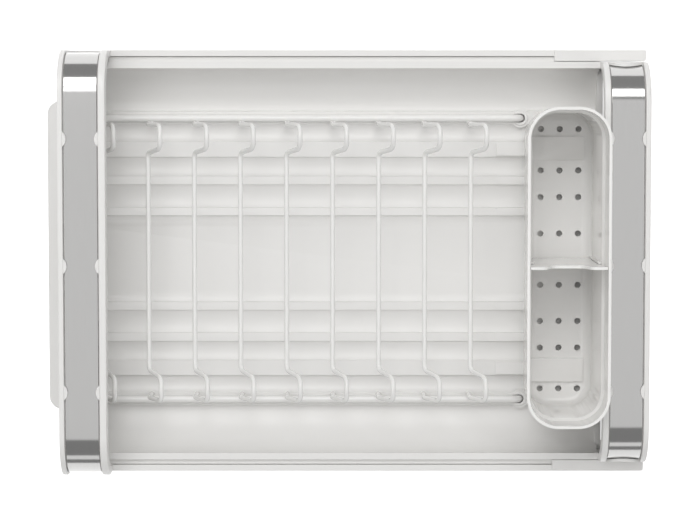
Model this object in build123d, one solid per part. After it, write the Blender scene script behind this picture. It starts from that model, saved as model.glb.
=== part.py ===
"""Expanding dish drying rack: two telescoping trays, arched ends, a lift-out plate rack and a cutlery caddy.

Millimetres. Origin at the centre of the footprint, on the surface the rack stands on.
+X is the way the inner tray pulls out, +Z is up, and both halves across Y are alike.
"""

from build123d import *
import os

# ---- driving dimensions ------------------------------------------------------------------------
LENGTH_LEFT = -223.05        # outer face of the left end frame
LENGTH_RIGHT = 244.15        # right end of the outer tray's side rails
RIGHT_FRAME_END = 243.7      # outer face of the right end frame
OUTER_HALF_WIDTH = 170.0     # outer tray, over its side rails
INNER_HALF_WIDTH = 160.6     # inner tray, over its flanges
FOOT_HEIGHT = 3.0            # rubber feet
RAIL_TOP = 78.0              # top of the outer rails and of the inner tray's flanges
WALL = 2.2                   # moulded wall of trays and caddy

# Inner tray floor: ridges run lengthwise, each (inner edge, outer edge) from the middle
RIDGES = ((35.6, 41.8), (60.9, 67.4), (83.5, 95.5), (110.0, 120.0))
RIDGE_TOP = 46.0
GROOVE_FLOOR = 41.0          # where the troughs start beside the outer ridges
RIDGE_DRAFT = 1.2            # how far the outer ridges' outer sides lean out
GROOVE_BOTTOM = 42.4         # lowest line of the hollowed grooves between the ridges
GROOVE_LIP = 1.4             # height and lean of the steep lip at each groove's edge
GROOVE_DRAFT = 0.7
CHANNEL_SWEEP = 9.0          # how far in from its edges the wide middle channel turns up
TROUGH_TOP_Y = 155.4         # where the curved trough wall meets the flange
INNER_TRAY_LEFT = -216.0
INNER_TRAY_RIGHT = 208.4
END_LIP = 1.8
END_LIP_TOP = 57.0
FLANGE_THICK = 2.5
FLANGE_SKIRT_BOTTOM = 60.0
LEDGE_HALF_WIDTH = 164.6     # low ledge outside the flange, which runs beside the outer rail
LEDGE_TOP = 75.1
LEDGE_THICK = 2.2

# Arched end frames
FRAME_WALL = 3.0
LEFT_FRAME_INNER = -185.4
RIGHT_FRAME_INNER = 207.2
LEFT_ARCH_TOP = 130.0
RIGHT_ARCH_TOP = 122.0
LEFT_CORNER = 34.0
RIGHT_CORNER = 33.0
OUTER_RIM = 4.2              # raised rim beside the band, at the object's end
LEFT_INNER_RIM = 5.6         # raised rim on the tray side
RIGHT_INNER_RIM = 4.8
RECESS_DEPTH = 2.8
ARCH_SHELL = 5.4             # rim top to underside of the arch
SKIRT_DEPTH = 14.0           # the tray-side rim hangs this far down from the arch top

# Steel bands
BAND_THICK = 0.6
BAND_GAP = 0.75              # narrow gap along each edge of the band
GROOVE_WIDTH = 1.3           # groove under each edge of the band
GROOVE_DEPTH = 1.5
LEFT_BAND_BOTTOM = 12.0
RIGHT_BAND_BOTTOM = 93.0
TAB_LENGTH = 12.0
TAB_REACH = 2.7
TAB_THICK = 1.2
TAB_STATIONS = (-100.0, 0.0, 100.0)
TONGUE_RISE = 6.6            # round tongue over each end of the right band

# Wire plate rack
ROD_RADIUS = 2.9
ROD_Y = 115.0
ROD_LIFT = 0.3               # the rack is a loose part, so it stands this far off the ridge
ROD_LEFT = -209.1            # centre of the rods' round left ends
SOCKET_X = 145.5
ROD_BEND = 5.0
ROD_TIP_Z = 40.9
SOCKET_RADIUS = 6.1
SOCKET_LIP_TOP = 47.0
SOCKET_FLOOR = 38.8
WIRE_RADIUS = 1.9
WIRE_FIRST_X = -192.65
WIRE_PITCH = 37.06
WIRE_COUNT = 9
WIRE_LEAN = 11.4             # each plate loop leans this far along +X at its top
WIRE_WELD = 0.3              # how deep a wire is welded into the rod
WIRE_RUN_Z = 77.0
WIRE_RUN_Y = 87.7
HUMP_Z = 100.0
HUMP_RISE = 3.4
HUMP_INNER_Y = 91.7

# Cutlery caddy
CADDY_X = 177.25
CADDY_WIDTH = 65.3
CADDY_LENGTH = 251.0
CADDY_TOP = 153.0
CADDY_BOTTOM = 47.4
CADDY_CORNER = 25.0
COLLAR_LOW = 123.6           # the wall steps out here, just above the right arch
COLLAR_HIGH = 125.8
COLLAR_INSET = 0.7           # how far the wall is drawn in from the rim at each level
NECK_INSET = 2.75
BASE_INSET = 4.1
CADDY_FLOOR = 2.4
CADDY_FOOT_RADIUS = 7.0      # round between the caddy's floor and its walls, inside
HOLE_RADIUS = 2.5
HOLE_PITCH_X = 15.3
HOLE_ROWS = (21.0, 50.7, 72.5, 106.1)
CHANNEL_Y = (81.0, 100.0)
CHANNEL_RISE = 3.0
CHANNEL_END_X = 197.0
DIVIDER_THICK = 2.3
DIVIDER_DIP = 16.0

# Drip tray
DRIP_HALF_WIDTH = 129.5
DRIP_BODY_HALF = 124.0
DRIP_RIGHT = -2.0
DRIP_BOTTOM = 4.0
DRIP_TOP = 30.0
LIP_LEFT = -244.15
LIP_HALF_WIDTH = 128.5
LIP_TOP = 10.0
LIP_CORNER = 11.0

# Outer tray floor
OUTER_FLOOR_TOP = 37.9
OUTER_FLOOR_RIGHT = 204.0
GUIDE_START = 170.3
CAP_THICK = 2.5
RAIL_WIDTH = 5.0
SLIDE_CLEARANCE = 0.4

SIDES = (("back", 1), ("front", -1))


# ---- shared shapes -----------------------------------------------------------------------------
def block(x0, x1, y0, y1, z0, z1):
    """A plain box between two corners."""
    size = Box(x1 - x0, abs(y1 - y0), z1 - z0)
    return Pos((x0 + x1) / 2, (y0 + y1) / 2, (z0 + z1) / 2) * size


def both_sides(x0, x1, y0, y1, z0, z1):
    """The same box on the back and on the front half."""
    return block(x0, x1, y0, y1, z0, z1) + block(x0, x1, -y1, -y0, z0, z1)


def prism(outline, x0, x1):
    """A closed outline drawn in the YZ plane, carried along X."""
    face = make_face(Plane.YZ.offset(x0) * outline)
    return extrude(face, amount=x1 - x0, dir=(1, 0, 0))


def arch(half_width, top, corner, base, x0, x1):
    """A block with an arch-shaped section: upright sides and two round upper corners."""
    over = FilletPolyline(
        (-half_width, 0), (-half_width, top), (half_width, top), (half_width, 0), radius=corner
    )
    sill = Line((half_width, 0), (-half_width, 0))
    solid = prism(over + sill, x0, x1)
    if base > 0:
        solid = solid - block(x0 - 1, x1 + 1, -half_width - 1, half_width + 1, -1, base)
    return solid


def rounded_slab(x0, x1, half_width, corner, z0, z1):
    """A slab with round corners in plan."""
    plan = RectangleRounded(x1 - x0, 2 * half_width, corner)
    return Pos((x0 + x1) / 2, 0, z0) * extrude(plan, amount=z1 - z0)


# ---- end frames and bands ----------------------------------------------------------------------
def band_tabs(x_low, x_high, top):
    """Half-round tabs that reach from both rims over the edges of the band."""
    radius = ((TAB_LENGTH / 2) ** 2 + TAB_REACH**2) / (2 * TAB_REACH)
    disc = Cylinder(radius, TAB_THICK)
    recess = block(x_low, x_high, -OUTER_HALF_WIDTH, OUTER_HALF_WIDTH, top - 2 * TAB_THICK, top)
    tabs = []
    for station in TAB_STATIONS:
        z_mid = top - 0.3 - TAB_THICK / 2
        tabs.append((Pos(x_low + TAB_REACH - radius, station, z_mid) * disc) & recess)
        tabs.append((Pos(x_high - TAB_REACH + radius, station, z_mid) * disc) & recess)
    return tabs


def end_frame(outer_x, rim_out, rim_in, inner_x, half_width, top, corner, band_bottom):
    """Arched end: a full end wall, a shelf with a recess for the band, and a hanging tray-side rim."""
    inward = 1 if inner_x > outer_x else -1
    x_low = min(outer_x, inner_x)
    x_high = max(outer_x, inner_x)
    frame = arch(half_width, top, corner, FOOT_HEIGHT, x_low, x_high)

    wall_face = outer_x + inward * FRAME_WALL
    rim_face = inner_x - inward * rim_in
    void_half = half_width - ARCH_SHELL
    void = arch(
        void_half, top - ARCH_SHELL, corner - ARCH_SHELL, 0,
        min(wall_face, rim_face), max(wall_face, rim_face),
    )
    mouth = arch(
        void_half, top - SKIRT_DEPTH, corner - ARCH_SHELL, 0,
        min(rim_face, inner_x) - 0.01, max(rim_face, inner_x) + 0.01,
    )

    recess_low = min(outer_x + inward * rim_out, rim_face)
    recess_high = max(outer_x + inward * rim_out, rim_face)
    around = arch(half_width + 1, top + 1, corner + 1, band_bottom, recess_low, recess_high)
    core = arch(
        half_width - RECESS_DEPTH, top - RECESS_DEPTH, corner - RECESS_DEPTH, 0, recess_low, recess_high
    )
    frame = frame - void - mouth - (around - core)
    deep = RECESS_DEPTH + GROOVE_DEPTH
    for groove_low in (recess_low, recess_high - GROOVE_WIDTH):
        groove_high = groove_low + GROOVE_WIDTH
        above = arch(half_width + 1, top + 1, corner + 1, band_bottom, groove_low, groove_high)
        below = arch(half_width - deep, top - deep, corner - deep, 0, groove_low, groove_high)
        frame = frame - (above - below)
    frame = fillet_long_edges(frame, top)
    for tab in band_tabs(recess_low, recess_high, top):
        frame = frame + tab
    return frame, recess_low, recess_high


def fillet_long_edges(frame, top):
    """Soften the four edges that run along the top of the two rims."""
    edges = frame.edges().filter_by(Axis.Y).filter_by_position(Axis.Z, top - 0.01, top + 0.01)
    soft = fillet(edges, 0.8)
    return soft


def band_tongues(recess_low, recess_high, half_width, top, corner, base):
    """Round tongues flush with the rims, one over each end of the band."""
    half_chord = (recess_high - recess_low) / 2
    radius = (half_chord**2 + TONGUE_RISE**2) / (2 * TONGUE_RISE)
    x_mid = (recess_low + recess_high) / 2
    disc = Pos(x_mid, 0, base + TONGUE_RISE - radius) * Rot(90, 0, 0) * Cylinder(radius, 2 * half_width + 2)
    depth = RECESS_DEPTH - BAND_THICK - 0.1
    skin = arch(half_width, top, corner, base - 0.5, recess_low, recess_high)
    skin = skin - arch(half_width - depth, top - depth, corner - depth, 0, recess_low, recess_high)
    return disc & skin & block(recess_low, recess_high, -half_width, half_width, base - 0.5, top - corner + 20)


def steel_band(recess_low, recess_high, half_width, top, corner, bottom):
    """A thin strip bent over the arch, lying in the frame's recess."""
    x0 = recess_low + BAND_GAP
    x1 = recess_high - BAND_GAP
    depth = RECESS_DEPTH
    inner = arch(half_width - depth, top - depth, corner - depth, 0, x0, x1)
    depth = RECESS_DEPTH - BAND_THICK
    outer = arch(half_width - depth, top - depth, corner - depth, bottom + 0.5, x0, x1)
    return outer - inner


def left_end_frame():
    """Left arched end, with the drip tray's slot at its foot and plates that carry the feet."""
    frame, low, high = end_frame(
        LENGTH_LEFT, OUTER_RIM, LEFT_INNER_RIM, LEFT_FRAME_INNER,
        OUTER_HALF_WIDTH, LEFT_ARCH_TOP, LEFT_CORNER, LEFT_BAND_BOTTOM,
    )
    frame = frame - block(LENGTH_LEFT - 1, -215, -131, 131, 0, 33)
    inside = OUTER_HALF_WIDTH - ARCH_SHELL
    frame = frame + both_sides(LENGTH_LEFT + FRAME_WALL, LEFT_FRAME_INNER, 140, inside, 3, 5.5)
    band = steel_band(low, high, OUTER_HALF_WIDTH, LEFT_ARCH_TOP, LEFT_CORNER, LEFT_BAND_BOTTOM)
    return frame, band


def right_end_frame():
    """Right arched end, with a foot flange along its base and a panel that closes the tray's end."""
    frame, low, high = end_frame(
        RIGHT_FRAME_END, OUTER_RIM, RIGHT_INNER_RIM, RIGHT_FRAME_INNER,
        INNER_HALF_WIDTH, RIGHT_ARCH_TOP, RIGHT_CORNER, RIGHT_BAND_BOTTOM,
    )
    inside = INNER_HALF_WIDTH - ARCH_SHELL
    frame = frame + band_tongues(low, high, INNER_HALF_WIDTH, RIGHT_ARCH_TOP, RIGHT_CORNER, RIGHT_BAND_BOTTOM)
    frame = frame + block(226, RIGHT_FRAME_END - FRAME_WALL, -inside, inside, FOOT_HEIGHT, 5.5)
    frame = frame + block(INNER_TRAY_RIGHT, INNER_TRAY_RIGHT + FRAME_WALL, -inside, inside, 20, END_LIP_TOP)
    band = steel_band(low, high, INNER_HALF_WIDTH, RIGHT_ARCH_TOP, RIGHT_CORNER, RIGHT_BAND_BOTTOM)
    return frame, band


# ---- trays -------------------------------------------------------------------------------------
def groove_line(start_y, end_y, sweep=None):
    """A groove's surface from one ridge's edge to the next: steep lips, then a hollowed floor.

    Without a sweep the floor is one arc. With one it is level, and only its last sweep mm turn up."""
    foot = RIDGE_TOP - GROOVE_LIP
    low = start_y + GROOVE_DRAFT
    high = end_y - GROOVE_DRAFT
    lips = Line((start_y, RIDGE_TOP), (low, foot)) + Line((high, foot), (end_y, RIDGE_TOP))
    if sweep is None:
        return lips + ThreePointArc((low, foot), ((low + high) / 2, GROOVE_BOTTOM), (high, foot))
    radius = (sweep**2 + (foot - GROOVE_BOTTOM) ** 2) / (2 * (foot - GROOVE_BOTTOM))
    mid_z = GROOVE_BOTTOM + radius - (radius**2 - (sweep / 2) ** 2) ** 0.5
    left = ThreePointArc((low, foot), (low + sweep / 2, mid_z), (low + sweep, GROOVE_BOTTOM))
    right = ThreePointArc((high - sweep, GROOVE_BOTTOM), (high - sweep / 2, mid_z), (high, foot))
    return lips + left + right + Line((low + sweep, GROOVE_BOTTOM), (high - sweep, GROOVE_BOTTOM))


def inner_floor():
    """The inner tray's upper surface from trough to trough: level ridges with grooves between them."""
    line = groove_line(-RIDGES[0][0], RIDGES[0][0], CHANNEL_SWEEP)
    for ridge, following in zip(RIDGES, RIDGES[1:]):
        line = line + groove_line(ridge[1], following[0])
        line = line + groove_line(-following[0], -ridge[1])
    for inner_edge, outer_edge in RIDGES:
        line = line + Line((inner_edge, RIDGE_TOP), (outer_edge, RIDGE_TOP))
        line = line + Line((-inner_edge, RIDGE_TOP), (-outer_edge, RIDGE_TOP))
    last_edge = RIDGES[-1][1]
    line = line + Line((last_edge, RIDGE_TOP), (last_edge + RIDGE_DRAFT, GROOVE_FLOOR))
    return line + Line((-last_edge, RIDGE_TOP), (-last_edge - RIDGE_DRAFT, GROOVE_FLOOR))


def inner_hollow():
    """The space inside the inner tray: ridged floor, quarter-round trough walls, open top."""
    start_y = RIDGES[-1][1] + RIDGE_DRAFT
    half_chord = (TROUGH_TOP_Y - start_y, RAIL_TOP - GROOVE_FLOOR)
    mid = (start_y + half_chord[0] * 0.707, RAIL_TOP - half_chord[1] * 0.707)
    back_wall = ThreePointArc((start_y, GROOVE_FLOOR), mid, (TROUGH_TOP_Y, RAIL_TOP))
    front_wall = ThreePointArc((-start_y, GROOVE_FLOOR), (-mid[0], mid[1]), (-TROUGH_TOP_Y, RAIL_TOP))
    lid = Line((TROUGH_TOP_Y, RAIL_TOP), (-TROUGH_TOP_Y, RAIL_TOP))
    return make_face(inner_floor() + back_wall + front_wall + lid)


def inner_tray():
    """Sliding tray: pressed floor, trough walls, flanges that ride inside the rails, and end lips."""
    hollow = inner_hollow()
    grown = offset(hollow, amount=WALL, kind=Kind.INTERSECTION)
    below_rim = Pos(0, RAIL_TOP / 2) * Rectangle(2 * OUTER_HALF_WIDTH, RAIL_TOP)
    shell = grown & below_rim
    length = INNER_TRAY_RIGHT - INNER_TRAY_LEFT

    section = Plane.YZ.offset(INNER_TRAY_LEFT) * (shell - hollow)
    tray = extrude(section, amount=length, dir=(1, 0, 0))
    flange_end = RIGHT_FRAME_INNER
    tray = tray - both_sides(flange_end, INNER_TRAY_RIGHT + 1, 140, 170, END_LIP_TOP, RAIL_TOP + 1)
    tray = tray + both_sides(
        INNER_TRAY_LEFT, flange_end, TROUGH_TOP_Y, INNER_HALF_WIDTH, RAIL_TOP - FLANGE_THICK, RAIL_TOP
    )
    skirt_inner = INNER_HALF_WIDTH - WALL
    tray = tray + both_sides(
        INNER_TRAY_LEFT, flange_end, skirt_inner, INNER_HALF_WIDTH, FLANGE_SKIRT_BOTTOM, RAIL_TOP
    )

    tray = tray + both_sides(
        INNER_TRAY_LEFT, flange_end, skirt_inner, LEDGE_HALF_WIDTH, LEDGE_TOP - LEDGE_THICK, LEDGE_TOP
    )

    below_lip = Pos(0, END_LIP_TOP / 2) * Rectangle(2 * OUTER_HALF_WIDTH, END_LIP_TOP)
    lip = shell & below_lip
    for x_start in (INNER_TRAY_LEFT, INNER_TRAY_RIGHT - END_LIP):
        tray = tray + extrude(Plane.YZ.offset(x_start) * lip, amount=END_LIP, dir=(1, 0, 0))

    tray = tray + caddy_seats() + rod_cradles()
    return tray - drain_slot(INNER_TRAY_LEFT + 4, 8, 30, GROOVE_FLOOR) - socket_holes()


def caddy_seats():
    """Raised pads under the caddy: low ones on the middle ridges, tall ones that locate it."""
    seat_right = INNER_TRAY_RIGHT - END_LIP
    seats = both_sides(125.8, seat_right, *RIDGES[0], RIDGE_TOP - 1, RIDGE_TOP + 1)
    seats = seats + both_sides(125.8, seat_right, *RIDGES[1], RIDGE_TOP - 1, RIDGE_TOP + 1)
    seats = seats + both_sides(125.8, 193, 84.5, 94.5, RIDGE_TOP - 1, RIDGE_TOP + 3)
    for side in (1, -1):
        boss = Pos(SOCKET_X, side * ROD_Y, (GROOVE_FLOOR + RIDGE_TOP) / 2 - 0.6)
        seats = seats + boss * Cylinder(SOCKET_RADIUS + 1.6, RIDGE_TOP - GROOVE_FLOOR + 1.2)
    return seats


def rod_cradles():
    """Two cheeks beside each rod's left end, which keep the rack in line."""
    x0 = ROD_LEFT - 1
    x1 = ROD_LEFT + 9
    gap = ROD_RADIUS + 0.4
    z1 = RIDGE_TOP + 4
    cradles = both_sides(x0, x1, ROD_Y - gap - 1.4, ROD_Y - gap, RIDGE_TOP - 1, z1)
    return cradles + both_sides(x0, x1, ROD_Y + gap, ROD_Y + gap + 1.4, RIDGE_TOP - 1, z1)


def drain_slot(x0, width, half_length, floor_z):
    """Cutter for a drain slot across the middle of a floor."""
    return rounded_slab(x0, x0 + width, half_length, width / 2 - 0.1, floor_z - 8, floor_z + 8)


def socket_holes():
    """Cutters for the two rack sockets."""
    hole = Cylinder(SOCKET_RADIUS + 0.05, 20)
    return Pos(SOCKET_X, ROD_Y, RIDGE_TOP) * hole + Pos(SOCKET_X, -ROD_Y, RIDGE_TOP) * hole


def rack_grommets():
    """Two round sockets with a raised lip, notched where the rod comes in and turns down."""
    height = SOCKET_LIP_TOP - SOCKET_FLOOR
    from_top = (Align.CENTER, Align.CENTER, Align.MAX)
    cup = Cylinder(SOCKET_RADIUS, height, align=from_top)
    rim = cup.edges().filter_by(GeomType.CIRCLE).sort_by(Axis.Z)[-1:]
    cup = fillet(rim, 0.8)
    bore = Cylinder(ROD_RADIUS + 0.7, height - 1.4, align=from_top)
    notch_half = ROD_RADIUS + 0.5
    notch = block(-SOCKET_RADIUS - 1, 0, -notch_half, notch_half, -2.8, 1)
    cup = cup - bore - notch
    return [Pos(SOCKET_X, side * ROD_Y, SOCKET_LIP_TOP) * cup for side in (1, -1)]


def outer_tray():
    """Fixed tray: flat floor with guide ribs, side walls with rails, foot flanges and drip runners."""
    floor_under = OUTER_FLOOR_TOP - WALL
    slope = Polyline(
        (0, floor_under), (135, floor_under), (162.5, 50), (OUTER_HALF_WIDTH - 2.5, 52),
        (OUTER_HALF_WIDTH - 2.5, 54.4), (161.7, 52.4), (134.2, OUTER_FLOOR_TOP), (0, OUTER_FLOOR_TOP),
        (0, floor_under),
    )
    half_floor = make_face(slope)
    body_left = LEFT_FRAME_INNER
    frame_wall = LENGTH_LEFT + FRAME_WALL
    floor_length = OUTER_FLOOR_RIGHT - body_left
    half = extrude(Plane.YZ.offset(body_left) * half_floor, amount=floor_length, dir=(1, 0, 0))
    wall_inner = OUTER_HALF_WIDTH - 2.5
    half = half + block(body_left, GUIDE_START, wall_inner, OUTER_HALF_WIDTH, FOOT_HEIGHT, RAIL_TOP)
    half = half + block(
        body_left, GUIDE_START, OUTER_HALF_WIDTH - RAIL_WIDTH, OUTER_HALF_WIDTH, RAIL_TOP - 3, RAIL_TOP
    )
    guide_z = RAIL_TOP - CAP_THICK
    half = half + block(GUIDE_START, LENGTH_RIGHT, wall_inner, OUTER_HALF_WIDTH, FOOT_HEIGHT, guide_z)
    half = half + block(body_left, LENGTH_RIGHT, 161.5, OUTER_HALF_WIDTH, FOOT_HEIGHT, 5.5)
    end_length = body_left - frame_wall
    end_floor = extrude(Plane.YZ.offset(frame_wall) * half_floor, amount=end_length, dir=(1, 0, 0))
    half = half + (end_floor & block(frame_wall, body_left, 0, OUTER_HALF_WIDTH - ARCH_SHELL, 0, RAIL_TOP))
    half = half + block(frame_wall, OUTER_FLOOR_RIGHT, 87.5, 91.5, OUTER_FLOOR_TOP - 1, 42)
    half = half + block(-214, 6, 131.5, 134, 25.5, floor_under + 0.5)
    half = half + block(-214, 6, 125.5, 134, 25.5, 27.7)
    tray = half + mirror(half, about=Plane.XZ)
    return tray - drain_slot(INNER_TRAY_LEFT + 3, 10, 32, OUTER_FLOOR_TOP)


def slide_guide(side):
    """C-shaped cap at the right end of a rail, which holds the inner tray's ledge between its lips."""
    inner_face = INNER_HALF_WIDTH + SLIDE_CLEARANCE
    cap_low = RAIL_TOP - CAP_THICK
    wall_inner = OUTER_HALF_WIDTH - 2.5
    length = LENGTH_RIGHT - GUIDE_START
    plan = Rectangle(length, OUTER_HALF_WIDTH - inner_face)
    cap = extrude(plan, amount=CAP_THICK)
    cap = Pos((GUIDE_START + LENGTH_RIGHT) / 2, (inner_face + OUTER_HALF_WIDTH) / 2, cap_low) * cap
    corners = cap.edges().filter_by(Axis.Z).sort_by(Axis.X)[2:]
    cap = fillet(corners, 2.2)
    end = LENGTH_RIGHT - 2.5
    shelf_top = LEDGE_TOP - LEDGE_THICK - SLIDE_CLEARANCE
    hook = block(GUIDE_START, end, wall_inner - 1.8, wall_inner, shelf_top - 2, cap_low + 0.5)
    shelf = block(GUIDE_START, end, inner_face, wall_inner, shelf_top - 2, shelf_top)
    guide = cap + hook + shelf
    return guide if side > 0 else mirror(guide, about=Plane.XZ)


def feet(stations, half_width, length, width):
    """A set of flat rubber pads."""
    pad = extrude(RectangleRounded(length, width, min(length, width) / 2 - 0.2), amount=FOOT_HEIGHT)
    pads = []
    for station in stations:
        for side in (1, -1):
            pads.append(Pos(station, side * half_width, 0) * pad)
    return pads


def drip_tray():
    """Shallow pull-out tray that hangs from the runners by its rim, with a low grip lip in front."""
    front = LENGTH_LEFT + 0.4
    body = block(front, DRIP_RIGHT, -DRIP_BODY_HALF, DRIP_BODY_HALF, DRIP_BOTTOM, DRIP_TOP)
    hollow = block(
        front + 2.4, DRIP_RIGHT - WALL, WALL - DRIP_BODY_HALF, DRIP_BODY_HALF - WALL,
        DRIP_BOTTOM + WALL, DRIP_TOP + 1,
    )
    body = body - hollow
    body = body + both_sides(front, DRIP_RIGHT, DRIP_BODY_HALF - 1, DRIP_HALF_WIDTH, 28, DRIP_TOP)
    body = body + block(front, front + 2.4, -DRIP_HALF_WIDTH, DRIP_HALF_WIDTH, DRIP_BOTTOM, DRIP_TOP + 1.5)
    slab = rounded_slab(LIP_LEFT, front + 30, LIP_HALF_WIDTH, LIP_CORNER, DRIP_BOTTOM, LIP_TOP)
    under = rounded_slab(
        LIP_LEFT + 2.4, front + 30, LIP_HALF_WIDTH - 2.4, LIP_CORNER - 2.4, DRIP_BOTTOM - 1, LIP_TOP - 2.6
    )
    lip = slab - under - block(front + 1, front + 40, -200, 200, 0, 20)
    top_edge = lip.edges().filter_by_position(Axis.Z, LIP_TOP - 0.01, LIP_TOP + 0.01)
    top_edge = top_edge.filter_by_position(Axis.X, LIP_LEFT - 1, front - 5)
    return body + fillet(top_edge, 1.0)


# ---- wire rack ---------------------------------------------------------------------------------
def wire(points, radii, thickness):
    """A round wire carried along straight runs joined by arcs."""
    path = FilletPolyline(*points, radius=radii)
    start = Plane(origin=path @ 0, z_dir=path % 0)
    return sweep(start * Circle(thickness), path=path)


def rack_rod(side):
    """Long foot rod: round left end, straight run on the outer ridge, right end turned down."""
    z = RIDGE_TOP + ROD_RADIUS + ROD_LIFT
    y = side * ROD_Y
    rod = wire([(ROD_LEFT, y, z), (SOCKET_X, y, z), (SOCKET_X, y, ROD_TIP_Z)], ROD_BEND, ROD_RADIUS)
    return rod + Pos(ROD_LEFT, y, z) * Sphere(ROD_RADIUS)


def plate_wire():
    """One plate loop: a raised leaning hook on each side and a straight run across between them."""
    foot_y = ROD_Y - ROD_RADIUS - WIRE_RADIUS + WIRE_WELD
    foot_z = RIDGE_TOP + ROD_LIFT + 1.2
    mid_y = (foot_y + HUMP_INNER_Y) / 2
    half = [
        (0, foot_y, foot_z),
        (0, foot_y, WIRE_RUN_Z - 3),
        (WIRE_LEAN, foot_y, HUMP_Z),
        (WIRE_LEAN, mid_y, HUMP_Z + HUMP_RISE),
        (WIRE_LEAN, HUMP_INNER_Y, HUMP_Z),
        (0, WIRE_RUN_Y, WIRE_RUN_Z),
    ]
    radii = [9, 8.5, 9, 9.5, 5]
    points = half + [(x, -y, z) for x, y, z in reversed(half)]
    return wire(points, radii + radii[::-1], WIRE_RADIUS)


# ---- caddy -------------------------------------------------------------------------------------
def caddy_plan(inset):
    """Round-cornered plan of the caddy's wall, drawn in by the given amount."""
    return RectangleRounded(CADDY_WIDTH - 2 * inset, CADDY_LENGTH - 2 * inset, CADDY_CORNER - inset)


def caddy_body(inset, z_bottom, foot_radius, step_lift=0.0):
    """Tapered block of the caddy's wall with a round foot and its stepped-out collar, drawn in by inset."""
    levels = (
        (z_bottom, BASE_INSET),
        (COLLAR_LOW + step_lift, NECK_INSET),
        (COLLAR_HIGH + step_lift, COLLAR_INSET),
        (CADDY_TOP, 0.0),
    )
    plans = [Pos(CADDY_X, 0, z) * caddy_plan(inset + drawn_in) for z, drawn_in in levels]
    body = loft(plans[:2])
    if foot_radius > 0:
        body = fillet(body.edges().filter_by_position(Axis.Z, z_bottom - 0.01, z_bottom + 0.01), foot_radius)
    for lower, upper in zip(plans[1:-1], plans[2:]):
        body = body + loft([lower, upper])
    return body


def cutlery_caddy():
    """Deep cutlery pot with a collar, drain holes, two raised floor channels and divider guides."""
    floor_z = CADDY_BOTTOM + CADDY_FLOOR
    hollow = caddy_body(WALL, floor_z, CADDY_FOOT_RADIUS, step_lift=0.8)
    caddy = caddy_body(0, CADDY_BOTTOM, CADDY_FOOT_RADIUS + WALL) - hollow

    low, high = CHANNEL_Y
    left = CADDY_X - CADDY_WIDTH / 2
    raised = both_sides(left, CHANNEL_END_X, low, high, floor_z - 1, floor_z + CHANNEL_RISE)
    groove = both_sides(
        left - 5, CHANNEL_END_X - WALL, low + 1.5, high - 1.5,
        CADDY_BOTTOM - 5, CADDY_BOTTOM + CHANNEL_RISE,
    )
    rib_gap = DIVIDER_THICK / 2 + 0.35
    ribs = both_sides(left, left + CADDY_WIDTH, rib_gap, rib_gap + 1.4, floor_z, COLLAR_LOW - 2)
    clear = 2.2
    ribs = ribs - caddy_body(WALL + clear, floor_z - 1, 0)
    caddy = caddy + ((raised + ribs) & hollow)
    return caddy - groove - drain_holes()


def drain_holes():
    """Three columns of round holes through the caddy's floor."""
    cutters = []
    for column in (-1, 0, 1):
        for row in HOLE_ROWS:
            for side in (1, -1):
                spot = Pos(CADDY_X + column * HOLE_PITCH_X, side * row, CADDY_BOTTOM)
                cutters.append(spot * Cylinder(HOLE_RADIUS, 12))
    return cutters


def caddy_divider():
    """Lift-out wall across the middle of the caddy, lower in the middle than at its ends."""
    floor_z = CADDY_BOTTOM + CADDY_FLOOR
    slab_half = CADDY_WIDTH / 2
    shoulder = 17.5
    top = CADDY_TOP - 0.6
    outline = FilletPolyline(
        (CADDY_X - slab_half, floor_z + 0.4),
        (CADDY_X + slab_half, floor_z + 0.4),
        (CADDY_X + slab_half, top),
        (CADDY_X + shoulder, top),
        (CADDY_X + shoulder - 6, top - DIVIDER_DIP),
        (CADDY_X - shoulder + 6, top - DIVIDER_DIP),
        (CADDY_X - shoulder, top),
        (CADDY_X - slab_half, top),
        close=True,
        radius=[0, 0, 0, 5, 6, 6, 5, 0],
    )
    face = make_face(Plane.XZ * outline)
    slab = extrude(face, amount=DIVIDER_THICK / 2, both=True)
    room = caddy_body(WALL + 0.35, floor_z + 0.4, CADDY_FOOT_RADIUS, step_lift=1.2)
    return slab & room


# ---- assembly ----------------------------------------------------------------------------------
def build_nodes():
    """Every sub-part by node name."""
    left_frame, left_band = left_end_frame()
    right_frame, right_band = right_end_frame()
    nodes = {
        "outer_tray": outer_tray(),
        "left_end_frame": left_frame,
        "left_steel_band": left_band,
        "outer_tray_feet": feet((-203, 222), 166.0, 36, 7.4),
        "inner_tray": inner_tray(),
        "right_end_frame": right_frame,
        "right_steel_band": right_band,
        "rack_grommets": rack_grommets(),
        "inner_tray_feet": feet((234,), 130.0, 12, 36),
        "drip_tray": drip_tray(),
        "cutlery_caddy": cutlery_caddy(),
        "caddy_divider": caddy_divider(),
    }
    for name, side in SIDES:
        nodes["slide_guide_" + name] = slide_guide(side)
        nodes["rack_rod_" + name] = rack_rod(side)
    loop = plate_wire()
    for index in range(WIRE_COUNT):
        spot = Pos(WIRE_FIRST_X + index * WIRE_PITCH, 0, 0)
        nodes["rack_wire_" + str(index + 1)] = spot * loop
    return nodes


os.makedirs("parts", exist_ok=True)
for node_name, shape in build_nodes().items():
    solids = shape if isinstance(shape, list) else shape.solids()
    body = solids[0] if len(solids) == 1 else Compound(children=list(solids))
    export_step(body, "parts/" + node_name + ".step")
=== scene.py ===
"""Looks of the expanding dish rack: moulded white trays, arched ends with satin bands, coated wires."""
import logging
import math
from collections.abc import Sequence
from dataclasses import dataclass, field
from enum import Enum

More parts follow.
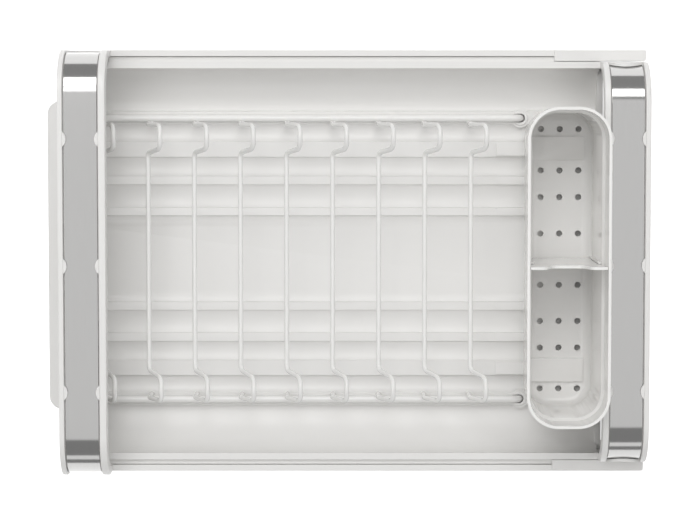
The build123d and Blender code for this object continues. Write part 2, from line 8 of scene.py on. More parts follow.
import bmesh
import bpy
import numpy as np
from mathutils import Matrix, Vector


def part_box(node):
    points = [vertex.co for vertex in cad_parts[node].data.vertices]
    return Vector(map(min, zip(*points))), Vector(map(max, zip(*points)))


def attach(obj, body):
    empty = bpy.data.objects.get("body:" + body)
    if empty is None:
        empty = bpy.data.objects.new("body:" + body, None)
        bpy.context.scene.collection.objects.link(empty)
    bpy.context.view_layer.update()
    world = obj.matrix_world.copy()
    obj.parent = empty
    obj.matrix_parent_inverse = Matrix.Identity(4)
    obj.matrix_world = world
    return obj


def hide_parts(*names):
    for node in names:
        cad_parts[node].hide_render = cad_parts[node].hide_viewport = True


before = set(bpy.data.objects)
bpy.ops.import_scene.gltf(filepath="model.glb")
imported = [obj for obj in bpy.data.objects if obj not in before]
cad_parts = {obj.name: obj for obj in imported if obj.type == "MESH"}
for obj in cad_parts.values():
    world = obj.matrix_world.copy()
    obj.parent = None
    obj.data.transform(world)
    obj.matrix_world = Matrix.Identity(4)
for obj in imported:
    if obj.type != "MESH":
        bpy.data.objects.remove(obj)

LOG = logging.getLogger("dish_rack")
MM = 0.001
RackArray = np.ndarray
Lamp = tuple[tuple[float, float, float], tuple[float, float], float]
DOME_RINGS = 5        # rings on the dome at each end of a tube
DOME_POLE = 0.02      # size of a dome's last ring, as a share of the tube's radius


class Body(Enum):
    """The moving bodies of the rack, by their names in the frame."""

    OUTER = "outer"
    INNER = "inner"
    DRIP = "drip"
    RACK = "plate_rack"
    CADDY = "caddy"
    DIVIDER = "divider"


class Slot(Enum):
    """The record's material slots."""

    WHITE = "white_plastic"
    GLOSS = "caddy_plastic"
    WIRE = "coated_wire"
    STEEL = "satin_steel"
    RUBBER = "foot_rubber"
    SOFT = "soft_white"


# ---- shader node groups ------------------------------------------------------------------------
class NodeSheet:
    """A node tree with short ways to add nodes and join them."""

    def __init__(self, tree: bpy.types.NodeTree) -> None:
        """Wrap a node tree.

        Args:
            tree: the material's or group's tree.
        """
        self.tree = tree

    def add(self, kind: str, **inputs: object) -> bpy.types.Node:
        """Add a node and set or join its inputs.

        Args:
            kind: the node's type name.
            inputs: input names, spaces written as underscores, to a value or to a socket to join.

        Returns:
            The new node.
        """
        node = self.tree.nodes.new(kind)
        for name, value in inputs.items():
            socket = node.inputs[name.replace("_", " ")]
            if isinstance(value, bpy.types.NodeSocket):
                self.tree.links.new(value, socket)
            else:
                socket.default_value = value
        return node

    def maths(self, operation: str, first: object, second: object) -> bpy.types.NodeSocket:
        """A Math node on two values or sockets.

        Args:
            operation: the node's operation, such as MULTIPLY.
            first: value or socket.
            second: value or socket.

        Returns:
            The result's socket.
        """
        node = self.tree.nodes.new("ShaderNodeMath")
        node.operation = operation
        for socket, value in zip(node.inputs, (first, second)):
            if isinstance(value, bpy.types.NodeSocket):
                self.tree.links.new(value, socket)
            else:
                socket.default_value = value
        return node.outputs[0]

    def blend(self, share: object, first: object, second: object) -> bpy.types.NodeSocket:
        """A colour mix from first to second by share.

        Args:
            share: value or socket, 0 gives first and 1 gives second.
            first: colour or socket.
            second: colour or socket.

        Returns:
            The mixed colour's socket.
        """
        node = self.tree.nodes.new("ShaderNodeMix")
        node.data_type = "RGBA"
        for socket, value in zip((node.inputs[0], node.inputs[6], node.inputs[7]), (share, first, second)):
            if isinstance(value, bpy.types.NodeSocket):
                self.tree.links.new(value, socket)
            else:
                socket.default_value = value
        return node.outputs[2]

    def noise(self, vector: object, scale: object, detail: float) -> bpy.types.NodeSocket:
        """Fractal noise from 0 to 1.

        Args:
            vector: the coordinates' socket.
            scale: repeats a metre, value or socket.
            detail: octaves.

        Returns:
            The value's socket.
        """
        return self.add("ShaderNodeTexNoise", Vector=vector, Scale=scale, Detail=detail).outputs["Fac"]


class Effects:
    """The node groups that several finishes share, each built once."""

    def __init__(self) -> None:
        """Start with no groups built."""
        self.made: dict[str, bpy.types.NodeTree] = {}

    @staticmethod
    def _tree(
        name: str, inputs: dict[str, tuple[str, object]], outputs: dict[str, str]
    ) -> tuple[NodeSheet, bpy.types.Node, bpy.types.Node]:
        """An empty group with named sockets.

        Args:
            name: the group's name.
            inputs: socket name to its type and default.
            outputs: socket name to its type.

        Returns:
            The sheet, the group's input node and its output node.
        """
        tree = bpy.data.node_groups.new(name, "ShaderNodeTree")
        for label, (kind, default) in inputs.items():
            socket = tree.interface.new_socket(label, in_out="INPUT", socket_type=kind)
            if default is not None:
                socket.default_value = default
        for label, kind in outputs.items():
            tree.interface.new_socket(label, in_out="OUTPUT", socket_type=kind)
        start = tree.nodes.new("NodeGroupInput")
        end = tree.nodes.new("NodeGroupOutput")
        return NodeSheet(tree), start, end

    def tone(self) -> bpy.types.NodeTree:
        """Slow drift between two tones, with a little finer mottling.

        Returns:
            The group's tree.
        """
        if "tone" not in self.made:
            sheet, start, end = self._tree(
                "tone_drift",
                {
                    "Vector": ("NodeSocketVector", None),
                    "Colour": ("NodeSocketColor", (0.8, 0.8, 0.8, 1)),
                    "Shade": ("NodeSocketColor", (0.75, 0.75, 0.74, 1)),
                    "Scale": ("NodeSocketFloat", 12.0),
                },
                {"Colour": "NodeSocketColor"},
            )
            slow = sheet.noise(start.outputs["Vector"], start.outputs["Scale"], 3)
            quick_scale = sheet.maths("MULTIPLY", start.outputs["Scale"], 14)
            quick = sheet.noise(start.outputs["Vector"], quick_scale, 2)
            slow_part = sheet.maths("MULTIPLY", slow, 0.75)
            both = sheet.maths("ADD", slow_part, sheet.maths("MULTIPLY", quick, 0.25))
            mixed = sheet.blend(both, start.outputs["Colour"], start.outputs["Shade"])
            sheet.tree.links.new(mixed, end.inputs["Colour"])
            self.made["tone"] = sheet.tree
        return self.made["tone"]

    def scuff(self) -> bpy.types.NodeTree:
        """Roughness that wanders, with thin wipe marks a touch duller than the rest.

        Returns:
            The group's tree.
        """
        if "scuff" not in self.made:
            sheet, start, end = self._tree(
                "wipe_marks",
                {
                    "Vector": ("NodeSocketVector", None),
                    "Roughness": ("NodeSocketFloat", 0.3),
                    "Amount": ("NodeSocketFloat", 0.08),
                },
                {"Roughness": "NodeSocketFloat"},
            )
            bent = sheet.add("ShaderNodeTexNoise", Vector=start.outputs["Vector"], Scale=9.0, Detail=2.0)
            streaks = sheet.add(
                "ShaderNodeTexNoise", Vector=bent.outputs["Color"], Scale=190.0, Detail=1.0
            ).outputs["Fac"]
            thin = sheet.add("ShaderNodeMapRange", Value=streaks, From_Min=0.66, From_Max=0.72)
            cloud = sheet.noise(start.outputs["Vector"], 26.0, 3)
            spread = sheet.maths("SUBTRACT", cloud, 0.5)
            drift = sheet.maths("MULTIPLY", spread, start.outputs["Amount"])
            marks = thin.outputs["Result"]
            lift = sheet.maths("MULTIPLY", sheet.maths("MULTIPLY", marks, 0.5), start.outputs["Amount"])
            total = sheet.maths("ADD", sheet.maths("ADD", start.outputs["Roughness"], drift), lift)
            sheet.tree.links.new(total, end.inputs["Roughness"])
            self.made["scuff"] = sheet.tree
        return self.made["scuff"]

    def grain(self) -> bpy.types.NodeTree:
        """Surface height of a moulded skin: fine spark-eroded grain over a faint long ripple.

        Returns:
            The group's tree.
        """
        if "grain" not in self.made:
            sheet, start, end = self._tree(
                "mould_grain",
                {
                    "Vector": ("NodeSocketVector", None),
                    "Fine": ("NodeSocketFloat", 1800.0),
                    "Ripple": ("NodeSocketFloat", 60.0),
                    "Share": ("NodeSocketFloat", 0.4),
                },
                {"Height": "NodeSocketFloat"},
            )
            fine = sheet.noise(start.outputs["Vector"], start.outputs["Fine"], 2)
            ripple = sheet.noise(start.outputs["Vector"], start.outputs["Ripple"], 1)
            rest = sheet.maths("SUBTRACT", 1.0, start.outputs["Share"])
            height = sheet.maths(
                "ADD",
                sheet.maths("MULTIPLY", fine, start.outputs["Share"]),
                sheet.maths("MULTIPLY", ripple, rest),
            )
            sheet.tree.links.new(height, end.inputs["Height"])
            self.made["grain"] = sheet.tree
        return self.made["grain"]


EFFECTS = Effects()


# ---- finishes ----------------------------------------------------------------------------------
@dataclass(frozen=True)
class MouldedPlastic:
    """White moulded plastic: drifting tone, wandering gloss and a fine mould grain."""

    name: str
    colour: tuple[float, float, float]
    shade: tuple[float, float, float]
    roughness: float
    gloss_drift: float
    fine_grain: float
    grain_share: float
    bump_height: float
    coat: float = 0.0

    def build(self) -> bpy.types.Material:
        """Make the material.

        Returns:
            The finished material.
        """
        material = bpy.data.materials.new(self.name)
        material.use_nodes = True
        material.diffuse_color = (*self.colour, 1)
        sheet = NodeSheet(material.node_tree)
        shader = material.node_tree.nodes["Principled BSDF"]
        place = sheet.add("ShaderNodeTexCoord").outputs["Object"]
        tone = self._group(sheet, EFFECTS.tone(), place)
        tone.inputs["Colour"].default_value = (*self.colour, 1)
        tone.inputs["Shade"].default_value = (*self.shade, 1)
        scuff = self._group(sheet, EFFECTS.scuff(), place)
        scuff.inputs["Roughness"].default_value = self.roughness
        scuff.inputs["Amount"].default_value = self.gloss_drift
        grain = self._group(sheet, EFFECTS.grain(), place)
        grain.inputs["Fine"].default_value = self.fine_grain
        grain.inputs["Share"].default_value = self.grain_share
        bump = sheet.add(
            "ShaderNodeBump", Height=grain.outputs["Height"], Strength=0.6, Distance=self.bump_height
        )
        links = material.node_tree.links
        links.new(tone.outputs["Colour"], shader.inputs["Base Color"])
        links.new(scuff.outputs["Roughness"], shader.inputs["Roughness"])
        links.new(bump.outputs["Normal"], shader.inputs["Normal"])
        shader.inputs["Coat Weight"].default_value = self.coat
        shader.inputs["Coat Roughness"].default_value = 0.08
        shader.inputs["IOR"].default_value = 1.49
        return material

    @staticmethod
    def _group(
        sheet: NodeSheet, tree: bpy.types.NodeTree, place: bpy.types.NodeSocket
    ) -> bpy.types.Node:
        """Put a group into the material, fed with the object's coordinates.

        Args:
            sheet: the material's sheet.
            tree: the group's tree.
            place: the coordinates' socket.

        Returns:
            The group's node.
        """
        node = sheet.tree.nodes.new("ShaderNodeGroup")
        node.node_tree = tree
        sheet.tree.links.new(place, node.inputs["Vector"])
        return node


@dataclass(frozen=True)
class SatinSteel:
    """Stainless strip with a fine satin grain drawn along its length and a light speckle."""

    name: str = "satin_steel"
    colour: tuple[float, float, float] = (0.485, 0.482, 0.476)
    shade: tuple[float, float, float] = (0.415, 0.412, 0.406)
    across: float = 2600.0
    along: float = 60.0
    speckle: float = 1500.0
    smoothest: float = 0.1
    roughest: float = 0.16
    grain_depth: float = 0.00001

    def build(self) -> bpy.types.Material:
        """Make the material: noise stretched along the strip drives tone, roughness and bump.

        Returns:
            The finished material.
        """
        material = bpy.data.materials.new(self.name)
        material.use_nodes = True
        material.diffuse_color = (*self.colour, 1)
        sheet = NodeSheet(material.node_tree)
        shader = material.node_tree.nodes["Principled BSDF"]
        place = sheet.add("ShaderNodeTexCoord").outputs["Object"]
        drawn = sheet.add("ShaderNodeMapping", Vector=place, Scale=(self.across, self.along, self.along))
        lines = sheet.noise(drawn.outputs["Vector"], 1.0, 3)
        speckle = sheet.noise(place, self.speckle, 1)
        mixed = sheet.maths(
            "ADD", sheet.maths("MULTIPLY", lines, 0.5), sheet.maths("MULTIPLY", speckle, 0.5)
        )
        colour = sheet.blend(mixed, (*self.shade, 1), (*self.colour, 1))
        rough = sheet.add(
            "ShaderNodeMapRange", Value=mixed, To_Min=self.smoothest, To_Max=self.roughest
        )
        bump = sheet.add("ShaderNodeBump", Height=mixed, Strength=0.3, Distance=self.grain_depth)
        links = material.node_tree.links
        links.new(colour, shader.inputs["Base Color"])
        links.new(rough.outputs["Result"], shader.inputs["Roughness"])
        links.new(bump.outputs["Normal"], shader.inputs["Normal"])
        shader.inputs["Metallic"].default_value = 1.0
        return material


FINISHES = {
    Slot.WHITE: MouldedPlastic(
        name="white_plastic",
        colour=(0.85, 0.843, 0.827),
        shade=(0.825, 0.817, 0.80),
        roughness=0.34,
        gloss_drift=0.12,
        fine_grain=1900.0,
        grain_share=0.45,
        bump_height=0.00006,
    ),
    Slot.GLOSS: MouldedPlastic(
        name="caddy_plastic",
        colour=(0.93, 0.922, 0.905),
        shade=(0.905, 0.897, 0.88),
        roughness=0.17,
        gloss_drift=0.06,
        fine_grain=900.0,
        grain_share=0.15,
        bump_height=0.00005,
        coat=0.35,
    ),
    Slot.WIRE: MouldedPlastic(
        name="coated_wire",
        colour=(0.89, 0.884, 0.87),
        shade=(0.865, 0.858, 0.843),
        roughness=0.2,
        gloss_drift=0.08,
        fine_grain=420.0,
        grain_share=0.35,
        bump_height=0.00009,
        coat=0.3,
    ),
    Slot.STEEL: SatinSteel(),
    Slot.RUBBER: MouldedPlastic(
        name="foot_rubber",
        colour=(0.34, 0.34, 0.335),
        shade=(0.28, 0.28, 0.275),
        roughness=0.72,
        gloss_drift=0.16,
        fine_grain=2400.0,
        grain_share=0.7,
        bump_height=0.00012,
    ),
    Slot.SOFT: MouldedPlastic(
        name="soft_white",
        colour=(0.86, 0.854, 0.838),
        shade=(0.83, 0.823, 0.806),
        roughness=0.5,
        gloss_drift=0.12,
        fine_grain=2400.0,
        grain_share=0.6,
        bump_height=0.00008,
    ),
}


class Dresser:
    """Builds each finish once and puts it on pieces."""

    def __init__(self) -> None:
        """Build every finish."""
        self.materials: dict[Slot, bpy.types.Material] = {
            slot: finish.build() for slot, finish in FINISHES.items()
        }

    def dress(self, piece: bpy.types.Object, slot: Slot, body: Body, *nodes: str) -> bpy.types.Object:
        """Give a piece its finish, its body and the CAD nodes that it stands for.

        Args:
            piece: the mesh object.
            slot: the finish's slot.
            body: the body that it rides on.
            nodes: CAD nodes that it replaces, if any.

        Returns:
            The piece.
        """
        piece.data.materials.clear()
        piece.data.materials.append(self.materials[slot])
        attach(piece, body.value)
        if nodes:
            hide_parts(*nodes)
        LOG.info("%s: %d faces on %s", piece.name, len(piece.data.polygons), body.value)
        return piece


# ---- surfaces ----------------------------------------------------------------------------------
def mesh_object(name: str, points: RackArray, quads: RackArray) -> bpy.types.Object:
    """A smooth-shaded mesh object from arrays.

    Args:
        name: the object's name.
        points: vertex places, (n, 3), in metres.
        quads: vertex numbers, (m, 4).

    Returns:
        The new object, at the origin.
    """
    mesh = bpy.data.meshes.new(name)
    mesh.from_pydata(points.tolist(), [], quads.tolist())
    mesh.validate()
    mesh.shade_smooth()
    made = bpy.data.objects.new(name, mesh)
    bpy.context.scene.collection.objects.link(made)
    return made


def grid_quads(rows: int, columns: int) -> RackArray:
    """Quads of a grid of rows by columns whose columns join up in a ring.

    Args:
        rows: stations along the surface.
        columns: points round each ring.

    Returns:
        Vertex numbers, (m, 4).
    """
    row = np.arange(rows - 1)[:, None]
    column = np.arange(columns)[None, :]
    following = (column + 1) % columns
    above = row + 1
    corners = (
        row * columns + column, row * columns + following,
        above * columns + following, above * columns + column,
    )
    return np.stack(np.broadcast_arrays(*corners), axis=-1).reshape(-1, 4)


def rounded_path(points: RackArray, radii: Sequence[float], steps: int) -> RackArray:
    """Straight runs joined by circular arcs: each corner is cut back by radius times the tangent of half
    its turn, and the arc between the two cuts is swept evenly by angle about its centre.

    Args:
        points: corners, (n, 3).
        radii: one radius for each inner corner.
        steps: points on each arc.

    Returns:
        Points along the path.
    """
    pieces = [points[:1]]
    for corner, radius in zip(range(1, len(points) - 1), radii):
        before = points[corner - 1] - points[corner]
        after = points[corner + 1] - points[corner]
        before = before / np.linalg.norm(before)
        after = after / np.linalg.norm(after)
        half_open = 0.5 * math.acos(float(np.clip(before @ after, -1, 1)))
        middle = before + after
        middle = middle / np.linalg.norm(middle)
        centre = points[corner] + middle * radius / math.sin(half_open)
        half_turn = math.pi / 2 - half_open
        side = before - (before @ middle) * middle
        side = side / np.linalg.norm(side)
        angle = np.linspace(half_turn, -half_turn, steps)[:, None]
        pieces.append(centre + radius * (np.sin(angle) * side - np.cos(angle) * middle))
    pieces.append(points[-1:])
    return np.concatenate(pieces)


def spread_points(path: RackArray, longest: float) -> RackArray:
    """The path with extra points, so that no step is longer than the given length.

    Args:
        path: points, (n, 3).
        longest: longest step, in metres.

    Returns:
        The filled path.
    """
    gaps = np.linalg.norm(np.diff(path, axis=0), axis=1)
    path = path[np.concatenate([[True], gaps > 1e-7])]
    gaps = gaps[gaps > 1e-7]
    travelled = np.concatenate([[0], np.cumsum(gaps)])
    extra = [
        np.linspace(a, b, 2 + int((b - a) / longest))[1:-1]
        for a, b in zip(travelled[:-1], travelled[1:])
    ]
    stations = np.sort(np.concatenate([travelled, *extra]))
    return np.stack([np.interp(stations, travelled, path[:, axis]) for axis in range(3)], axis=1)


def tube(
    name: str, path: RackArray, radius: float, upright: tuple[float, float, float], sides: int = 20
) -> bpy.types.Object:
    """A round tube: ring point = path + radius (cos a u + sin a v), where u and v are square to the path;
    at both ends the rings shrink on a quarter circle to a dome.

    Args:
        name: the object's name.
        path: centreline, (n, 3).
        radius: the tube's radius.
        upright: a direction that the path never runs along.
        sides: points round each ring.

    Returns:
        The tube's object.
    """
    path = spread_points(path, 4 * radius)
    tangent = np.gradient(path, axis=0)
    tangent /= np.linalg.norm(tangent, axis=1, keepdims=True)
    dome = np.linspace(0, math.pi / 2, DOME_RINGS + 1)[1:]
    start = path[0] - tangent[0] * radius * np.sin(dome[::-1, None])
    end = path[-1] + tangent[-1] * radius * np.sin(dome[:, None])
    girth = np.concatenate([np.cos(dome[::-1]), np.ones(len(path)), np.cos(dome)]) * radius
    girth = np.maximum(girth, radius * DOME_POLE)
    path = np.concatenate([start, path, end])
    first = np.repeat(tangent[:1], DOME_RINGS, 0)
    last = np.repeat(tangent[-1:], DOME_RINGS, 0)
    tangent = np.concatenate([first, tangent, last])
    u = np.array(upright) - (tangent @ np.array(upright))[:, None] * tangent
    u /= np.linalg.norm(u, axis=1, keepdims=True)
    v = np.cross(tangent, u)
    angle = np.linspace(0, 2 * math.pi, sides, endpoint=False)
    ring = np.cos(angle)[None, :, None] * u[:, None] + np.sin(angle)[None, :, None] * v[:, None]
    points = path[:, None] + girth[:, None, None] * ring
    made = mesh_object(name, points.reshape(-1, 3), grid_quads(len(path), sides))
    close_holes(made)
    return made


def close_holes(piece: bpy.types.Object) -> None:
    """Fill the open rings of a mesh and turn all faces outwards.

    Args:
        piece: the mesh object.
    """
    work = bmesh.new()
    work.from_mesh(piece.data)
    bmesh.ops.holes_fill(work, edges=work.edges, sides=0)
    bmesh.ops.recalc_face_normals(work, faces=work.faces)
    work.to_mesh(piece.data)
    work.free()


# ---- wire rack ---------------------------------------------------------------------------------
@dataclass
class WireRack:
    """Two foot rods and the plate wires welded across them."""

    dresser: Dresser
    rod_radius: float = 2.9 * MM
    wire_radius: float = 1.9 * MM
    rod_bend: float = 5 * MM
    run_drop: float = 23 * MM
    hump_sag: float = 0.55 * MM
    shoulder: float = 3 * MM
    hump_rise: float = 3.4 * MM
    hump_inner: float = 91.7 * MM
    run_end: float = 87.7 * MM
    bends: tuple[float, ...] = (9, 8.5, 9, 9.5, 5)
    bead: tuple[float, float, float] = (2.6 * MM, 1.1 * MM, 1.7 * MM)
    bead_rows: int = 12
    bead_columns: int = 18
    pole_gap: float = 1e-3
    rod_sides: int = 28
    rod_steps: int = 12
    wire_steps: int = 9
    wires: list[str] = field(
        default_factory=lambda: sorted(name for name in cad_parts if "rack_wire" in name)
    )

    def build(self) -> None:
        """Make rods, wires and weld beads."""
        for name in ("rack_rod_back", "rack_rod_front"):
            self.rod(name)
        for name in self.wires:
            self.wire(name)
        self.weld_beads()

    def rod(self, node: str) -> None:
        """A rod with a round left end and its right end turned down.

        Args:
            node: the rod's CAD node.
        """
        low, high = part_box(node)
        y = (low.y + high.y) / 2
        z = high.z - self.rod_radius
        socket = high.x - self.rod_radius
        corners = np.array([
            [low.x + self.rod_radius, y, z],
            [socket, y, z],
            [socket, y, low.z + self.rod_radius],
        ])
        path = rounded_path(corners, [self.rod_bend], self.rod_steps)
        piece = tube(node + "_coated", path, self.rod_radius, (0, 1, 0), self.rod_sides)
        self.dresser.dress(piece, Slot.WIRE, Body.RACK, node)

    def wire(self, node: str) -> None:
        """One plate wire: upright, leaning hook, and the straight run across, the same on both sides.

        Args:
            node: the wire's CAD node.
        """
        low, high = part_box(node)
        radius = self.wire_radius
        x = low.x + radius
        lean = high.x - radius
        foot = high.y - radius
        top = high.z - radius
        hump = top - self.hump_rise + self.hump_sag
        run = hump - self.run_drop
        half = np.array([
            [x, foot, low.z + radius],
            [x, foot, run - self.shoulder],
            [lean, foot, hump],
            [lean, (foot + self.hump_inner) / 2, hump + self.hump_rise],
            [lean, self.hump_inner, hump],
            [x, self.run_end, run],
        ])
        other = half[::-1] * np.array([1, -1, 1])
        bends = np.array(self.bends) * MM
        radii = np.concatenate([bends, bends[::-1]])
        path = rounded_path(np.concatenate([half, other]), radii, self.wire_steps)
        piece = tube(node + "_coated", path, radius, (1, 0, 0.01))
        self.dresser.dress(piece, Slot.WIRE, Body.RACK, node)

    def weld_beads(self) -> None:
        """Small coated beads where each wire's foot meets a rod. A bead is an ellipsoid: its centre plus
        (a cos p cos q, b cos p sin q, c sin p), for p from pole to pole and q once round."""
        low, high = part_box("rack_rod_back")
        rod_y = (low.y + high.y) / 2
        rod_z = high.z - self.rod_radius
        stations = np.array([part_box(node)[0].x + self.wire_radius for node in self.wires])
        contact = rod_y - self.rod_radius
        centres = np.array([[x, side * contact, rod_z] for side in (1, -1) for x in stations])
        rows, columns = self.bead_rows, self.bead_columns
        p = np.linspace(-math.pi / 2, math.pi / 2, rows)[:, None] * (1 - self.pole_gap)
        q = np.linspace(0, 2 * math.pi, columns, endpoint=False)[None, :]
        a, b, c = self.bead
        parts = (a * np.cos(p) * np.cos(q), b * np.cos(p) * np.sin(q), c * np.sin(p))
        bead = np.stack(np.broadcast_arrays(*parts), -1).reshape(1, -1, 3)
        points = (centres[:, None] + bead).reshape(-1, 3)
        offsets = (np.arange(len(centres)) * rows * columns)[:, None, None]
        quads = grid_quads(rows, columns)[None] + offsets
        piece = mesh_object("rack_weld_beads", points, quads.reshape(-1, 4))
        close_holes(piece)
        self.dresser.dress(piece, Slot.WIRE, Body.RACK)


# ---- steel bands -------------------------------------------------------------------------------
@dataclass
class SteelBand:
    """A thin satin strip bent over an arched end: straight legs, two quarter rounds and a flat top."""

    dresser: Dresser
    node: str
    body: Body
    corner: float
    thickness: float = 0.6 * MM
    corner_steps: int = 40
    flat_steps: int = 9
    cap_steps: int = 7
    supports: tuple[float, ...] = (0.985, 0.95, 0.5, 0.0, -0.5, -0.95, -0.985)

    def centreline(self) -> tuple[RackArray, RackArray]:
        """The strip's middle line in the YZ plane and its outward normals. On a quarter round of radius R
        about a centre C, the point is C + R n, with n = (cos a, sin a) for a from the side to the top.

        Returns:
            Places and normals, both (n, 2).
        """
        low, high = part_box(self.node)
        radius = self.corner - self.thickness / 2
        half = high.y - self.corner
        rise = high.z - self.corner
        sweep = np.linspace(0, math.pi / 2, self.corner_steps)
        around = np.stack([np.cos(sweep), np.sin(sweep)], axis=1)
        back = np.array([half, rise]) + radius * around
        leg = np.array([[half + radius, low.z]])
        inwards = np.linspace(half, 0, self.flat_steps)[1:]
        flat = np.stack([inwards, np.full(len(inwards), rise + radius)], 1)
        side = np.concatenate([leg, back, flat])
        normal = np.concatenate([[[1.0, 0.0]], around, np.tile([[0.0, 1.0]], (len(flat), 1))])
        mirror = np.array([-1, 1])
        return (
            np.concatenate([side, side[-2::-1] * mirror]),
            np.concatenate([normal, normal[-2::-1] * mirror]),
        )

    def section(self, width: float) -> tuple[RackArray, RackArray]:
        """The strip's section, a stadium: r cos t beyond each end of its flats and r sin t along the normal,
        with r half the thickness, and a few points along each flat, closer together near its ends.

        Args:
            width: the strip's width.

        Returns:
            Distances across the strip and along the normal, both (n,).
        """
        edge = self.thickness / 2
        reach = width / 2 - edge
        t = np.linspace(-math.pi / 2, math.pi / 2, self.cap_steps)
        along = reach * np.array(self.supports)
        level = np.full(len(along), edge)
        across = np.concatenate([reach + edge * np.cos(t), along, -reach - edge * np.cos(t), -along])
        out = np.concatenate([edge * np.sin(t), level, -edge * np.sin(t), -level])
        return across, out

    def build(self) -> None:
        """Carry the section along the middle line: point = line + x across + n out."""
        low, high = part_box(self.node)
        line, normal = self.centreline()
        across, out = self.section(high.x - low.x)
        x = np.broadcast_to((low.x + high.x) / 2 + across, (len(line), len(across)))
        y = line[:, :1] + normal[:, :1] * out
        z = line[:, 1:] + normal[:, 1:] * out
        points = np.stack([x, y, z], axis=-1).reshape(-1, 3)
        piece = mesh_object(self.node + "_drawn", points, grid_quads(len(line), len(across)))
        close_holes(piece)
        self.dresser.dress(piece, Slot.STEEL, self.body, self.node)


# ---- moulded shells ----------------------------------------------------------------------------
@dataclass
class MouldedShells:
    """The injection-moulded pieces: their CAD solids with every edge given its real small radius."""

    dresser: Dresser
    sharpest: float = math.radians(32)
    flattest: float = math.radians(0.4)
    weld_gap: float = 0.002 * MM
    edge_steps: int = 2

    def soften(self, node: str, edge: float, slot: Slot, body: Body) -> bpy.types.Object:
        """A merged copy of a CAD node whose edges are rounded.

        Args:
            node: the CAD node.
            edge: width of the rounding, in metres.
            slot: the finish's slot.
            body: the body that it rides on.

        Returns:
            The new piece.
        """
        work = bmesh.new()
        work.from_mesh(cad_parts[node].data)
        bmesh.ops.remove_doubles(work, verts=work.verts, dist=self.weld_gap)
        bmesh.ops.dissolve_limit(work, angle_limit=self.flattest, verts=work.verts, edges=work.edges)
        mesh = bpy.data.meshes.new(node + "_moulded")
        work.to_mesh(mesh)
        work.free()
        mesh.shade_smooth()
        mesh.set_sharp_from_angle(angle=self.sharpest)
        piece = bpy.data.objects.new(mesh.name, mesh)
        bpy.context.scene.collection.objects.link(piece)
        bevel = piece.modifiers.new("edge_radius", "BEVEL")
        bevel.width = edge
        bevel.segments = self.edge_steps
        bevel.limit_method = "ANGLE"
        bevel.angle_limit = self.sharpest
        bevel.use_clamp_overlap = True
        bevel.harden_normals = True
        return self.dresser.dress(piece, slot, body, node)

    def build(self) -> None:
        """Make every moulded piece."""
        self.soften("outer_tray", 0.6 * MM, Slot.WHITE, Body.OUTER)
        self.soften("left_end_frame", 0.6 * MM, Slot.WHITE, Body.OUTER)
        self.soften("slide_guide_back", 0.5 * MM, Slot.WHITE, Body.OUTER)
        self.soften("slide_guide_front", 0.5 * MM, Slot.WHITE, Body.OUTER)
        self.soften("outer_tray_feet", 0.5 * MM, Slot.RUBBER, Body.OUTER)
        self.soften("inner_tray", 0.6 * MM, Slot.WHITE, Body.INNER)
        self.soften("right_end_frame", 0.6 * MM, Slot.WHITE, Body.INNER)
        self.soften("rack_grommets", 0.4 * MM, Slot.SOFT, Body.INNER)
        self.soften("inner_tray_feet", 0.5 * MM, Slot.RUBBER, Body.INNER)
        self.soften("drip_tray", 0.5 * MM, Slot.WHITE, Body.DRIP)
        self.soften("cutlery_caddy", 0.3 * MM, Slot.GLOSS, Body.CADDY)
        self.soften("caddy_divider", 0.4 * MM, Slot.GLOSS, Body.DIVIDER)


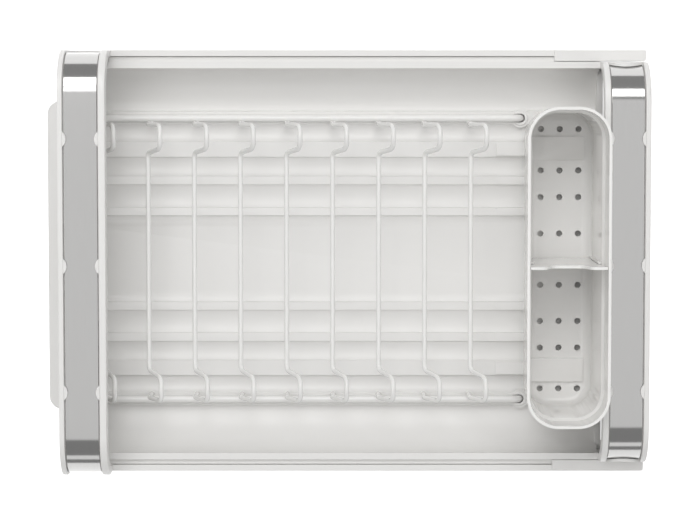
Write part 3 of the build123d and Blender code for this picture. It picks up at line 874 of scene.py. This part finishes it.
# ---- studio ------------------------------------------------------------------------------------
@dataclass
class Studio:
    """Plain pale floor, soft light mostly from the back, and a camera nearly straight above.

    Each lamp is its place, its width and height, and its radiance."""

    eye: tuple[float, float, float] = (0.00665, 0.1526, 2.170)
    aim: tuple[float, float, float] = (0.00665, -0.003, 0.046)
    lens: float = 133.9
    floor_shade: float = 0.8
    floor_glow: float = 0.85
    sky_back: float = 0.45
    sky_front: float = 0.38
    sky_side: float = 0.42
    overhead: float = 1.12
    floor_half: float = 4.0
    canopy: Lamp = ((-0.38, 0.76, 2.4), (1.1, 0.86), 2.0)
    key: Lamp = ((-0.05, 1.47, 2.12), (1.8, 0.95), 3.4)
    left_side: Lamp = ((-1.4, 0.05, 2.5), (1.0, 1.5), 1.9)
    right_side: Lamp = ((1.4, 0.05, 2.5), (1.0, 1.5), 0.9)
    strip: Lamp = ((0.1, -1.98, 0.8), (2.4, 0.5), 0.9)
    rack_height: float = 0.1

    def camera(self) -> None:
        """Place the camera with the rack's back at the top of its view."""
        data = bpy.data.cameras.new("view")
        data.lens = self.lens
        data.sensor_width = 36
        eye = bpy.data.objects.new("view", data)
        eye.location = self.eye
        tilt = math.atan2(self.eye[1] - self.aim[1], self.eye[2] - self.aim[2])
        eye.rotation_euler = (-tilt, 0, 0)
        bpy.context.scene.collection.objects.link(eye)
        bpy.context.scene.camera = eye

    def panel(self, name: str, lamp: Lamp, aim: Vector) -> None:
        """One soft rectangular light. A panel of area A that glows evenly with radiance L gives pi A L
        watts.

        Args:
            name: the light's name.
            lamp: where it hangs, its width and height, and how brightly it glows.
            aim: the point it faces.
        """
        place, (width, height), radiance = lamp
        data = bpy.data.lights.new(name, "AREA")
        data.shape = "RECTANGLE"
        data.size, data.size_y = width, height
        data.energy = math.pi * width * height * radiance
        fixture = bpy.data.objects.new(name, data)
        fixture.visible_camera = False
        fixture.location = place
        fixture.rotation_euler = (aim - Vector(place)).to_track_quat("-Z", "Y").to_euler()
        bpy.context.scene.collection.objects.link(fixture)

    def floor(self) -> None:
        """A wide pale floor that looks like a lit sweep, also in reflections, but throws only its plain
        shade back at the rack."""
        half = self.floor_half
        corners = np.array([[-half, -half, 0], [half, -half, 0], [half, half, 0], [-half, half, 0]])
        ground = mesh_object("floor", corners, np.array([[0, 1, 2, 3]]))
        paint = bpy.data.materials.new("floor_paint")
        paint.use_nodes = True
        sheet = NodeSheet(paint.node_tree)
        shader = paint.node_tree.nodes["Principled BSDF"]
        shader.inputs["Base Color"].default_value = (self.floor_shade, self.floor_shade, self.floor_shade, 1)
        shader.inputs["Roughness"].default_value = 0.8
        shader.inputs["Emission Color"].default_value = (1, 1, 1, 1)
        path = sheet.add("ShaderNodeLightPath").outputs
        seen = sheet.maths("MAXIMUM", path["Is Camera Ray"], path["Is Glossy Ray"])
        glow = sheet.maths("MULTIPLY", seen, self.floor_glow)
        paint.node_tree.links.new(glow, shader.inputs["Emission Strength"])
        ground.data.materials.append(paint)

    def heavens(self) -> None:
        """A pale room, a little lighter at the back than at the front, between the two at both sides, and
        lightest overhead. With smooth steps t of the direction's Y, s of the size of its X and c of its Z,
        the strength is mix(mix(mix(front, back, t), side, s), overhead, c)."""
        world = bpy.data.worlds.new("soft_room")
        world.use_nodes = True
        sheet = NodeSheet(world.node_tree)
        direction = sheet.add("ShaderNodeTexCoord").outputs["Generated"]
        parts = sheet.add("ShaderNodeSeparateXYZ", Vector=direction).outputs
        across = sheet.maths("ABSOLUTE", parts["X"], 0.0)
        strength = self.step(sheet, parts["Y"], (-0.25, 0.25), self.sky_front, self.sky_back)
        strength = self.step(sheet, across, (0.3, 0.6), strength, self.sky_side)
        strength = self.step(sheet, parts["Z"], (0.95, 0.98), strength, self.overhead)
        background = world.node_tree.nodes["Background"]
        background.inputs["Color"].default_value = (1, 1, 1, 1)
        world.node_tree.links.new(strength, background.inputs["Strength"])
        bpy.context.scene.world = world

    @staticmethod
    def step(
        sheet: NodeSheet, value: bpy.types.NodeSocket, span: tuple[float, float], low: object, high: object
    ) -> bpy.types.NodeSocket:
        """A smooth step from low to high as a value crosses a span.

        Args:
            sheet: the world's sheet.
            value: the value's socket.
            span: where the step starts and ends.
            low: value or socket before the span.
            high: value or socket after it.

        Returns:
            The result's socket.
        """
        node = sheet.add(
            "ShaderNodeMapRange", Value=value, From_Min=span[0], From_Max=span[1], To_Min=low, To_Max=high
        )
        node.interpolation_type = "SMOOTHSTEP"
        return node.outputs["Result"]

    def build(self) -> None:
        """Floor, room, lamps and camera."""
        self.floor()
        self.heavens()
        bpy.context.scene.view_settings.view_transform = "Standard"
        down = Vector((0, 0, -1))
        key_aim = Vector((self.key[0][0], 0, self.rack_height))
        self.panel("back_canopy", self.canopy, Vector(self.canopy[0]) + down)
        self.panel("back_softbox", self.key, key_aim)
        self.panel("left_softbox", self.left_side, Vector(self.left_side[0]) + down)
        self.panel("right_softbox", self.right_side, Vector(self.right_side[0]) + down)
        self.panel("front_strip", self.strip, Vector((0, 0, self.rack_height)))
        self.camera()


def main() -> None:
    logging.basicConfig(level=logging.INFO, format="%(message)s")
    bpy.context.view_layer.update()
    dresser = Dresser()
    MouldedShells(dresser).build()
    SteelBand(dresser, "left_steel_band", Body.OUTER, 31.8 * MM).build()
    SteelBand(dresser, "right_steel_band", Body.INNER, 30.8 * MM).build()
    WireRack(dresser).build()
    Studio().build()


if __name__ == "__main__":
    main()
